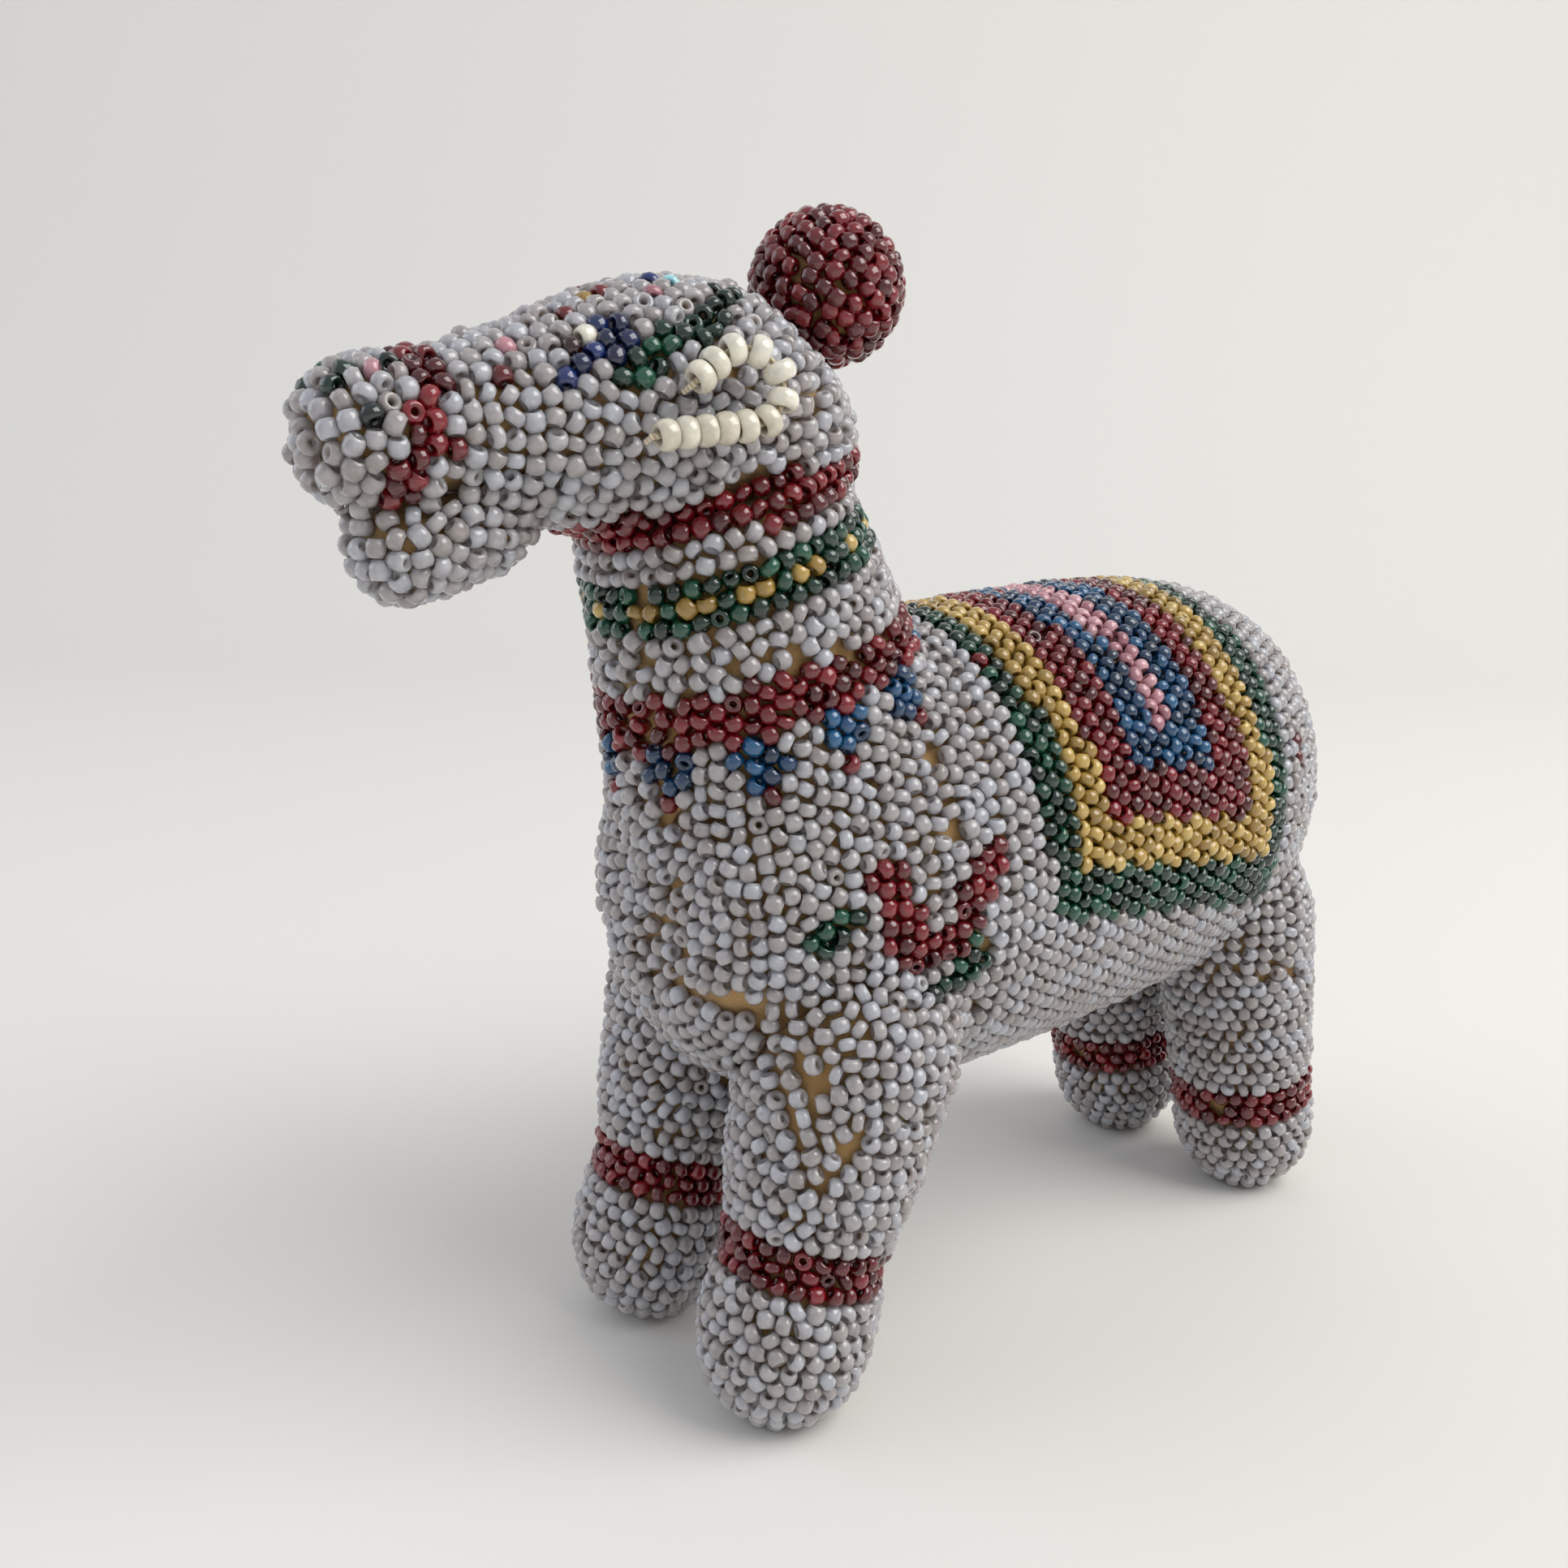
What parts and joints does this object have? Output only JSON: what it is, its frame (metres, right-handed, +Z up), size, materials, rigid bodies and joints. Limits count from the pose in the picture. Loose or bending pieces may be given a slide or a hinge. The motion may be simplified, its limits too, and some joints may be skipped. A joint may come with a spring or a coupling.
{
  "type": "beaded animal figure",
  "caption": "Small standing llama of stuffed cotton forms netted with glass seed beads, with a striped saddle blanket, beaded bands, bead-loop ears and a red bead pompon",
  "frame": {"origin": "on the floor, under the middle of the box round the whole figure", "axes": "+Z up; the figure faces -Y; its left side is +X; the YZ plane is its plane of symmetry"},
  "size_m": [0.0474, 0.1271, 0.1182],
  "materials": {
    "cotton_core": "matt tan cotton cloth, plain weave, stretched tight over the stuffing",
    "cotton_thread": "cream cotton thread, twisted, with frayed ends",
    "pearl_glass_beads": "pearl glass seed beads, glossy, faintly translucent, greyish white with a cool sheen",
    "red_glass_beads": "deep red glass seed beads, glossy",
    "green_glass_beads": "dark green glass seed beads, glossy",
    "blue_glass_beads": "mid blue glass seed beads, glossy",
    "navy_glass_beads": "navy glass seed beads, glossy",
    "yellow_glass_beads": "ochre yellow opaque glass seed beads, glossy",
    "pink_glass_beads": "dusty pink opaque glass seed beads, glossy",
    "white_glass_beads": "opaque white glass beads, larger than the seed beads, soft gloss"
  },
  "bodies": {
    "figure": {"torso_form": "cotton_core", "neck_form": "cotton_core", "head_form": "cotton_core", "jaw_form": "cotton_core", "left_front_leg_form": "cotton_core", "right_front_leg_form": "cotton_core", "left_rear_leg_form": "cotton_core", "right_rear_leg_form": "cotton_core", "torso_net": "pearl_glass_beads", "neck_net_lower": "pearl_glass_beads", "neck_net_middle": "pearl_glass_beads", "neck_net_upper": "pearl_glass_beads", "head_net": "pearl_glass_beads", "muzzle_net": "pearl_glass_beads", "jaw_net": "pearl_glass_beads", "left_front_leg_net": "pearl_glass_beads", "right_front_leg_net": "pearl_glass_beads", "left_rear_leg_net": "pearl_glass_beads", "right_rear_leg_net": "pearl_glass_beads", "left_front_anklet": "red_glass_beads", "right_front_anklet": "red_glass_beads", "left_rear_anklet": "red_glass_beads", "right_rear_anklet": "red_glass_beads", "left_front_hoof": "pearl_glass_beads", "right_front_hoof": "pearl_glass_beads", "left_rear_hoof": "pearl_glass_beads", "right_rear_hoof": "pearl_glass_beads", "blanket_pink": "pink_glass_beads", "blanket_blue": "blue_glass_beads", "blanket_red": "red_glass_beads", "blanket_yellow": "yellow_glass_beads", "blanket_green": "green_glass_beads", "left_shoulder_heart": "red_glass_beads", "right_shoulder_heart": "red_glass_beads", "left_shoulder_leaves": "green_glass_beads", "right_shoulder_leaves": "green_glass_beads", "collar": "red_glass_beads", "flower_round": "blue_glass_beads", "neck_band": "green_glass_beads", "throat_strap": "red_glass_beads", "noseband": "red_glass_beads", "left_eye": "navy_glass_beads", "right_eye": "navy_glass_beads"},
    "left_ear": {"left_ear_beads": "white_glass_beads", "left_ear_thread": "cotton_thread"},
    "right_ear": {"right_ear_beads": "white_glass_beads", "right_ear_thread": "cotton_thread"},
    "pompon_shank": {"pompon_knot": "red_glass_beads"},
    "pompon": {"pompon_core": "cotton_core", "pompon_beads": "red_glass_beads"}
  },
  "joints": [
    {"name": "left_ear_swing", "type": "hinge", "parent": "figure", "child": "left_ear", "pos_m": [0.01258, -0.03978, 0.09582], "axis": [0, -0.685, -0.7285], "range_deg": [-6, 50]},
    {"name": "right_ear_swing", "type": "hinge", "parent": "figure", "child": "right_ear", "pos_m": [-0.01258, -0.03978, 0.09582], "axis": [0, 0.685, 0.7285], "range_deg": [-6, 50]},
    {"name": "pompon_rock", "type": "hinge", "parent": "figure", "child": "pompon_shank", "pos_m": [0, -0.01466, 0.105], "axis": [1, 0, 0], "range_deg": [-8, 8]},
    {"name": "pompon_sway", "type": "hinge", "parent": "pompon_shank", "child": "pompon", "pos_m": [0, -0.01466, 0.105], "axis": [0, 1, 0], "range_deg": [-10, 10]}
  ]
}
